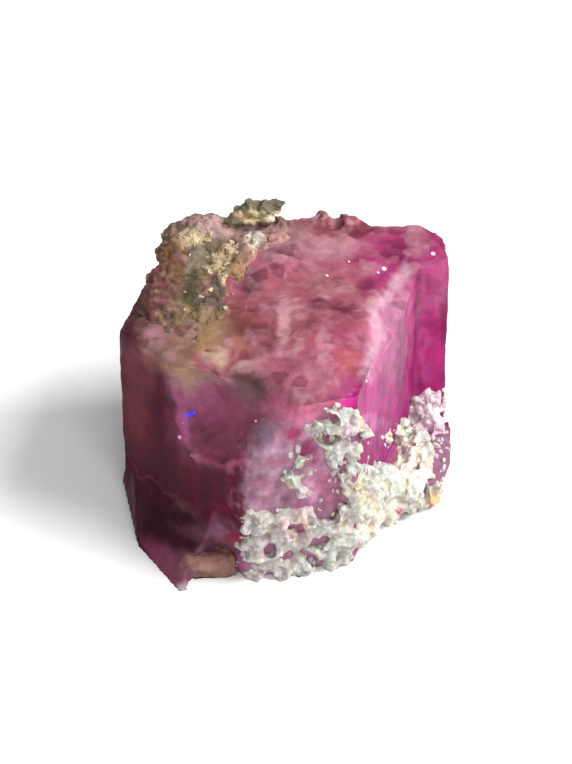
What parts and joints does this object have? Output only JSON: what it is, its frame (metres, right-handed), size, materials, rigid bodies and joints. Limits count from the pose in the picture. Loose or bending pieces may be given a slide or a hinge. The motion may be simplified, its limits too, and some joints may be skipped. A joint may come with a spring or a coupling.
{
  "type": "red beryl crystal on rhyolite matrix",
  "caption": "Short hexagonal prism of red beryl with white clay and ochre rock still on it; a display mineral that stands on its broken base.",
  "frame": {"origin": "on the flat broken base, under the middle of the crystal", "axes": "+Z along the crystal's c axis, up from the base; +X to the right and +Y away when the white crust faces the viewer"},
  "size_m": [0.0135, 0.0142, 0.0102],
  "materials": {
    "red_beryl": "gloss",
    "white_clay": "matte",
    "side_clay": "matte",
    "ochre_rubble": "matte",
    "olive_rock": "matte",
    "tan_clay": "matte"
  },
  "bodies": {
    "root": {"beryl_crystal": "red_beryl", "white_matrix_crust": "white_clay", "side_clay_patch": "side_clay", "ochre_matrix_crust": "ochre_rubble", "top_rock_chip": "olive_rock", "tan_clay_patch": "tan_clay"}
  },
  "joints": []
}
